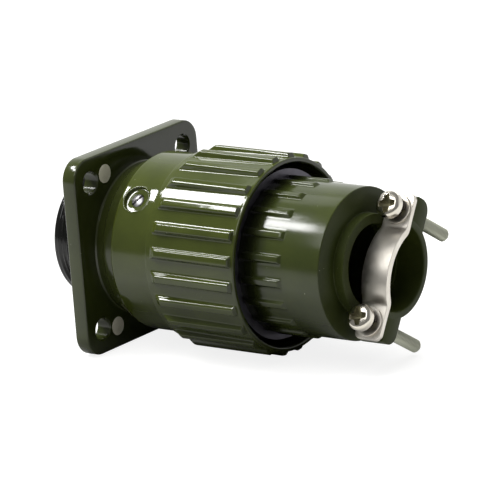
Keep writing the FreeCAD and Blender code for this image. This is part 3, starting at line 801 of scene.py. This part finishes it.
make_piece("backshell_enamelled", [backshell_body(), trough_patch(), lug_patch(1), lug_patch(-1)],
           backshell_finish(), "plug", "backshell")


# Saddle
# A strap stamped from 1.6 mm steel strip and nickel plated, bowed over the cable
# and flat at both ends under the washers.
strap = 1.6
strap_low_x = 89.0
strap_high_x = 97.9
strap_ease = 0.14
tab_corner = 2.0
seat_gap = 0.05  # between two clamped pieces
saddle_middle = lug_face - seat_gap - strap / 2
crown_radius = 17.0
crown_swell = 0.28  # the strip is this much thicker where it is bowed
bend_radius = 3.2
bowed_length = 16.0  # from the crown's middle to the straight tab
saddle_rise = 4.0
saddle_half_length = 23.05
saddle_half_span = 22.2


def saddle_line(arc_length):
    """The strap's middle line, and its slope, by the distance from the crown: the crown's arc, an arc that
    bends the other way, and a straight tab."""
    reach = crown_radius + bend_radius
    sweep = math.asin(math.sqrt(2 * saddle_rise * reach - saddle_rise ** 2) / reach)
    crown_length = crown_radius * sweep
    bend_length = bend_radius * sweep
    on_crown = np.clip(arc_length, 0, crown_length)
    on_bend = np.clip(arc_length - crown_length, 0, bend_length)
    on_tab = np.clip(arc_length - crown_length - bend_length, 0, None)
    slope = on_crown / crown_radius - on_bend / bend_radius
    height = -saddle_rise + crown_radius * (1 - np.cos(on_crown / crown_radius))
    height += bend_radius * (np.cos(slope) - math.cos(sweep)) * (on_bend > 0)
    out = crown_radius * np.sin(on_crown / crown_radius)
    out += bend_radius * (math.sin(sweep) - np.sin(slope)) * (on_bend > 0) + on_tab
    return height, out, slope


def eased_section(half_first, half_second, ease):
    """Rectangle with rounded corners, by half its sizes, as sixteen places along each of its directions."""
    bend = np.linspace(0, np.pi / 2, 4)
    c, s = np.cos(bend), np.sin(bend)
    first = np.repeat([1, 1, -1, -1], 4) * (half_first - ease) + ease * np.concatenate([s, c, -s, -c])
    second = np.repeat([1, -1, -1, 1], 4) * (half_second - ease) + ease * np.concatenate([c, -s, -c, s])
    return first, second


def saddle_patch():
    """The strap's rounded section carried along its middle line, narrower round the tabs' corners, with
    each end closed in the middle of the thickness."""
    corner_start = saddle_half_length - tab_corner
    half = np.concatenate([
        np.linspace(0, bowed_length - 0.5, 40), np.linspace(bowed_length, corner_start, 8)[:-1],
        corner_start + tab_corner * np.sin(np.linspace(0, np.pi / 2, 12))])
    height, out, slope = saddle_line(half)
    on_tab = np.clip((half - bowed_length) / (saddle_half_length - bowed_length), 0, 1)
    out = out + (saddle_half_span - out[-1]) * on_tab
    past = np.clip(half - corner_start, 0, tab_corner)
    corner_in = tab_corner - np.sqrt(np.maximum(tab_corner ** 2 - past ** 2, 0))
    thick = 1 + crown_swell * np.clip((bowed_length - half) / 5, 0, 1)
    rows = np.stack([height, out, slope, corner_in, thick])
    rows = np.concatenate([rows, rows[:, -1:] * [[1], [1], [1], [1], [0]]], axis=1)
    mirrored = rows[:, :0:-1] * [[1], [-1], [-1], [1], [1]]
    height, out, slope, corner_in, thick = np.concatenate([mirrored, rows], axis=1)[:, :, None]

    across, through = eased_section((strap_high_x - strap_low_x) / 2 - corner_in, strap / 2, strap_ease)
    x = (strap_low_x + strap_high_x) / 2 + across
    y = saddle_middle + height + through * thick * np.cos(slope)
    z = out - through * thick * np.sin(slope)
    return patch(to_connector(np.stack([x, y, z], axis=-1)))


satin_nickel = nickel_plating("satin nickel on stamped steel", "dbd7cf", "c6c0b4", 0.4, 2.5)
make_piece("clamp_saddle_plated", [saddle_patch()], satin_nickel, "saddle", "clamp_saddle")


# Washers
# A turned flat washer lies on each end of the saddle, and on it a split spring
# washer that is not yet pressed flat.
flat_outer = 4.5
flat_thickness = 0.8
washer_hole = 2.3
washer_ease = 0.14
saddle_top = lug_face - seat_gap - strap
flat_top = saddle_top - flat_thickness
spring_wire = 1.1
spring_ease = 0.16
spring_free_height = 2.65
spring_split = math.radians(16)


def at_screw(points, across):
    """From a screw's own frame, its length first and the tip positive, to the connector's."""
    placed = np.stack([screw_x + points[..., 1], points[..., 0], across + points[..., 2]], axis=-1)
    return to_connector(placed)


def flat_washer_points():
    """A ring of four sides with eased edges, spun about the screw."""
    middle = (flat_outer + washer_hole) / 2
    outline = softened([
        (flat_top, middle), (flat_top, flat_outer), (saddle_top, flat_outer), (saddle_top, washer_hole),
        (flat_top, washer_hole), (flat_top, middle - 0.1)], washer_ease, steps=3)
    return spun(outline[:, :1], outline[:, 1:], full_turn(72))


def spring_washer_points():
    """Square wire with eased corners and closed ends, which rises evenly round one turn less the split."""
    turn = np.linspace(0, 2 * np.pi - spring_split, 73)
    turn = np.concatenate([turn[:1], turn, turn[-1:]])[:, None]
    size = np.ones_like(turn)
    size[[0, -1]] = 0
    up, out = eased_section(spring_wire / 2, spring_wire / 2, spring_ease)
    rise = (spring_free_height - spring_wire) * turn / (2 * np.pi - spring_split)
    level = flat_top - seat_gap - spring_wire / 2 - rise + up * size
    return spun(level, washer_hole + spring_wire / 2 + out * size, turn)


# The spring washers' nickel is darker than the rest, partly its own tone and partly painted shade under the
# screw heads.
dark_nickel_with_painted_shade = nickel_plating("darkened nickel and painted shade on spring steel", "565049", "3c3832", 0.3, 0.6)
for side, across in (("upper", screw_offset), ("lower", -screw_offset)):
    flat_washer = patch(at_screw(flat_washer_points(), across), close_rows=True)
    make_piece("flat_washer_" + side + "_plated", [flat_washer], satin_nickel, "saddle",
               "flat_washer_" + side)
    spring_washer = patch(at_screw(spring_washer_points(), across))
    make_piece("spring_washer_" + side + "_plated", [spring_washer], dark_nickel_with_painted_shade, "saddle",
               "spring_washer_" + side)


# Clamp screws
# M4 by 30 pan-head screws in nickel-plated steel, with a cross recess. They go
# through the saddle and the lugs, and their tips stand out behind.
screw_radius = 2.0
screw_length = 30.0
screw_pitch = 0.7
screw_thread_depth = 0.36
head_radius = 4.0
head_height = 2.9
head_crown = 1.3  # the head's quarter round at its rim
head_dome = 0.35  # and how far its middle stands above the rim
head_under_ease = 0.12
cross_reach = 2.8  # the cross recess: from the axis to the ends of its arms,
cross_tip_half = 0.7  # half their width there,
cross_root = 1.15  # and where two arms meet
cross_share = [0, 0.3, 0.6, 0.84, 1.0]  # rings of the recess, as shares of its outline,
cross_depth = [2.2, 1.9, 1.45, 1.0, 0.0]  # and how deep each lies
head_under = flat_top - 0.1 - spring_free_height
head_top = head_under - head_height


def head_points():
    """Rings from the axis outwards, each the cross's outline drawn in, or out to a circle: the recess's
    floor and wall, the crown, which ends in a quarter round, and the head's side and underside."""
    corners = all_four(np.array([
        (cross_reach, -cross_tip_half), (cross_reach, cross_tip_half), (cross_root, cross_root)]))
    t = np.linspace(0, 1, 6, endpoint=False)[:, None]
    outline = (corners[:, None] * (1 - t) + np.roll(corners, -1, axis=0)[:, None] * t).reshape(-1, 2)
    ring = unit(outline)
    recess = np.array(cross_share)[:, None, None] * outline
    crown = head_radius - np.array([0.95, 0.8, 0.65, 0.5, 0.35, 0.2, 0.1, 0.04, 0])
    flat = np.concatenate([recess, crown[:, None, None] * ring])
    distance = np.linalg.norm(flat, axis=2)
    edge = np.clip(distance - (head_radius - head_crown), 0, head_crown)
    level = head_top + head_dome * (distance / head_radius) ** 2
    level += (head_crown - head_dome) * (1 - np.sqrt(1 - (edge / head_crown) ** 2 * 0.96))
    level[:len(recess)] += np.array(cross_depth)[:, None]
    side_level, side_radius = np.array([
        (head_top + head_crown + 0.25, head_radius), (head_under - head_under_ease, head_radius),
        (head_under, head_radius - head_under_ease), (head_under, 0.0)]).T
    side = at_levels(side_level, side_radius[:, None, None] * ring)
    return np.concatenate([np.concatenate([level[:, :, None], flat], axis=2), side])


def screw_patches(turned_by):
    """Head and shank, a turned surface with the thread cut into it and a plain chamfer on its end."""
    x = np.arange(head_under - 0.5, head_under + screw_length - 0.6, screw_pitch / 8)
    radius = np.full_like(x, screw_radius)
    tip = head_under + screw_length
    x = np.concatenate([[x[0]], x, [tip - 0.55, tip - 0.3, tip, tip]])[:, None]
    radius = np.concatenate([[0], radius, [1.75, 1.6, 1.4, 0]])[:, None]
    angle = full_turn(28)
    run_in = np.clip((x - head_under - 0.8) / screw_pitch, 0, 1) * (radius > 1.9)
    thread = run_in * screw_thread_depth * thread_groove(x, angle, screw_pitch)
    shank = patch(spun(x, radius - thread, angle))
    return [(turned(points, turned_by), quads) for points, quads in (patch(head_points()), shank)]


def vector_maths(material, operation, *terms):
    """Outputs of the operation on vectors: a Vector or a Value."""
    return add_node(material, "VectorMath", dict(enumerate(terms)), operation=operation)


def screw_finish():
    """The bright nickel, dull and greenish from old oil past the lugs, darkened with painted shade in the
    thread's roots, and darker and brownish in the cross recess."""
    plate = nickel_plating("bright nickel on the screws", "d9d5cc", "c2bbab", 0.16, 0.6)
    shader, tone, gloss = looks_of(plate)
    place = place_in(plate)
    c, s = math.cos(clamp_roll), math.sin(clamp_roll)
    along = vector_maths(plate, "DOT_PRODUCT", place, (0, c, -s))["Value"]
    across = vector_maths(plate, "DOT_PRODUCT", place, (0, s, c))["Value"]
    off_x = maths(plate, "SUBTRACT", along_axis(plate), screw_x / 1000)
    off_axis = maths(plate, "SUBTRACT", maths(plate, "ABSOLUTE", across), screw_offset / 1000)
    offset = add_node(plate, "CombineXYZ", {0: off_x, 1: off_axis})["Vector"]
    far = vector_maths(plate, "LENGTH", offset)["Value"]
    below_top = maths(plate, "GREATER_THAN", along, (head_top + 0.3) / 1000)
    near_axis = maths(plate, "LESS_THAN", far, (cross_reach - 0.1) / 1000)
    in_recess = maths(plate, "MULTIPLY", below_top, near_axis)
    on_shank = maths(plate, "GREATER_THAN", along, 0.001)
    crest = mapped(plate, far, (screw_radius - screw_thread_depth) / 1000, (screw_radius - 0.08) / 1000)
    # Darker and brownish in the cross recess.
    darker_in_recess = mixed(plate, in_recess, tone, colour("77735a"))
    # Painted shade: the thread's roots are coloured darker than its crests.
    oiled_with_root_shade = mixed(plate, crest, colour("74766a"), colour("c9cbb9"))
    dull_part = maths(plate, "MAXIMUM", in_recess, on_shank)
    set_sockets(shader, {
        "Base Color": mixed(plate, on_shank, darker_in_recess, oiled_with_root_shade),
        "Roughness": blended(plate, dull_part, gloss, 0.5)})
    return plate


screw_nickel = screw_finish()
for side, across, turned_by in (("upper", screw_offset, 0.175), ("lower", -screw_offset, 0.22)):
    patches = [(at_screw(points, across), quads) for points, quads in screw_patches(turned_by)]
    make_piece("clamp_screw_" + side + "_plated", patches, screw_nickel, "screw_" + side,
               "clamp_screw_" + side)


# Floor and light
# A pale table in a white room, bright behind the connector and dim on the camera's
# side, under a broad overhead light. Three soft boxes draw the long highlights on
# nut, backshell and clamp, and a pale panel lifts the backshell's upper side.
floor_level = -0.03012
floor_reach = 4.0
floor_lift = 0.85  # added where the table is seen or mirrored, so that it shows white
shadow_half_width = 0.042  # the shadow, in which the mirrored table stays dark
shadow_half_length = 0.060
shadow_middle_x = 0.028
shadow_core = 0.7  # in those half sizes: dark to here,
shadow_end = 1.5  # and pale from here on
table_front = 0.6  # the mirrored table is dim from this far in front
dim_wall = 0.25
white_wall = 1.0
wall_edge = 0.25  # the room goes from dim to white between these heights of a ray's Y,
ceiling_low = 0.55  # and from white to dim between these of its Z
ceiling_high = 0.88
overhead_from = (-0.38, 0.05, 0.92)
overhead_edge = 0.62  # cosines from the overhead light's middle: its border,
overhead_core = 0.95  # and where it is full
overhead_level = 3.8
fill_level = 0.04
aimed_at = (0.045, 0, 0)
soft_boxes = {  # each with its place, its size along X and across, and its power
    "soft box for the nut": ((-0.2735, -0.123, 0.411), (0.051, 0.112), 0.71),
    "soft box for the backshell": ((-0.2110, -0.204, 0.372), (0.054, 0.074), 0.47),
    "soft box for the clamp": ((-0.0350, -0.300, 0.330), (0.260, 0.240), 0.62),
    "pale panel over the backshell": ((-0.2050, 0.150, 0.392), (0.080, 0.160), 0.045)}


def ray_kinds(material):
    """Whether a ray comes from the camera, and whether from a mirroring or clear surface."""
    rays = add_node(material, "LightPath")
    mirrored = maths(material, "MAXIMUM", rays["Is Glossy Ray"], rays["Is Transmission Ray"])
    return rays["Is Camera Ray"], mirrored


def table_material():
    """A matt, faintly fibrous board, which shows white where it is seen or mirrored, apart from the soft
    grey of the shadow."""
    table, shader, place = new_material("matt pale table")
    off_middle = vector_maths(table, "SUBTRACT", place, (shadow_middle_x, 0, 0))["Vector"]
    shadow_sizes = (1 / shadow_half_length, 1 / shadow_half_width, 0)
    in_shadow_sizes = vector_maths(table, "MULTIPLY", off_middle, shadow_sizes)["Vector"]
    far = vector_maths(table, "LENGTH", in_shadow_sizes)["Value"]
    unshaded = mapped(table, far, shadow_core, shadow_end)
    in_front = add_node(table, "SeparateXYZ", {0: place})["Y"]
    lit_table = maths(table, "MULTIPLY", unshaded, mapped(table, in_front, -table_front, -table_front / 5))
    to_camera, mirrored = ray_kinds(table)
    seen = maths(table, "MAXIMUM", to_camera, maths(table, "MULTIPLY", mirrored, lit_table))
    set_sockets(shader, {
        "Base Color": mixed(table, noise(table, place, 40), colour("969694"), colour("929290")),
        "Roughness": 0.9, "Specular IOR Level": 0.0, "Emission Color": (1, 1, 1, 1),
        "Emission Strength": maths(table, "MULTIPLY", seen, floor_lift)})
    return table


floor_corners = [(x, y, floor_level) for x, y in all_four(np.array([[floor_reach, floor_reach]]))]
floor_mesh = bpy.data.meshes.new("floor")
floor_mesh.from_pydata(floor_corners, [], [(0, 1, 2, 3)])
floor_mesh.materials.append(table_material())
floor = new_object("floor", floor_mesh)

world = bpy.data.worlds.new("white room")
bpy.context.scene.world = world
world.use_nodes = True
direction = add_node(world, "TexCoord")["Generated"]
part = add_node(world, "SeparateXYZ", {0: direction})
behind = mapped(world, part["Y"], -wall_edge, wall_edge)
below_ceiling = mapped(world, part["Z"], ceiling_high, ceiling_low)
room = mapped(world, maths(world, "MULTIPLY", behind, below_ceiling), 0, 1, dim_wall, white_wall)
nearness = vector_maths(world, "DOT_PRODUCT", direction, overhead_from)["Value"]
overhead = mapped(world, nearness, overhead_edge, overhead_core, fill_level, overhead_level)
to_camera, mirrored = ray_kinds(world)
level = blended(world, to_camera, blended(world, mirrored, overhead, room), white_wall)
set_sockets(world.node_tree.nodes["Background"], {"Color": (1, 1, 1, 1), "Strength": level})


def soft_box(name, place, size, power):
    """Area light at a place, its first side along X and its face towards the connector's middle."""
    lamp = new_object(name, bpy.data.lights.new(name, "AREA"))
    lamp.data.shape = "RECTANGLE"
    lamp.data.size, lamp.data.size_y = size
    lamp.data.energy = power
    away = unit(np.array(place) - aimed_at)
    across = unit(np.cross(away, [1.0, 0, 0]))
    stand(lamp, np.cross(across, away), across, away, place)


for name, box in soft_boxes.items():
    soft_box(name, *box)
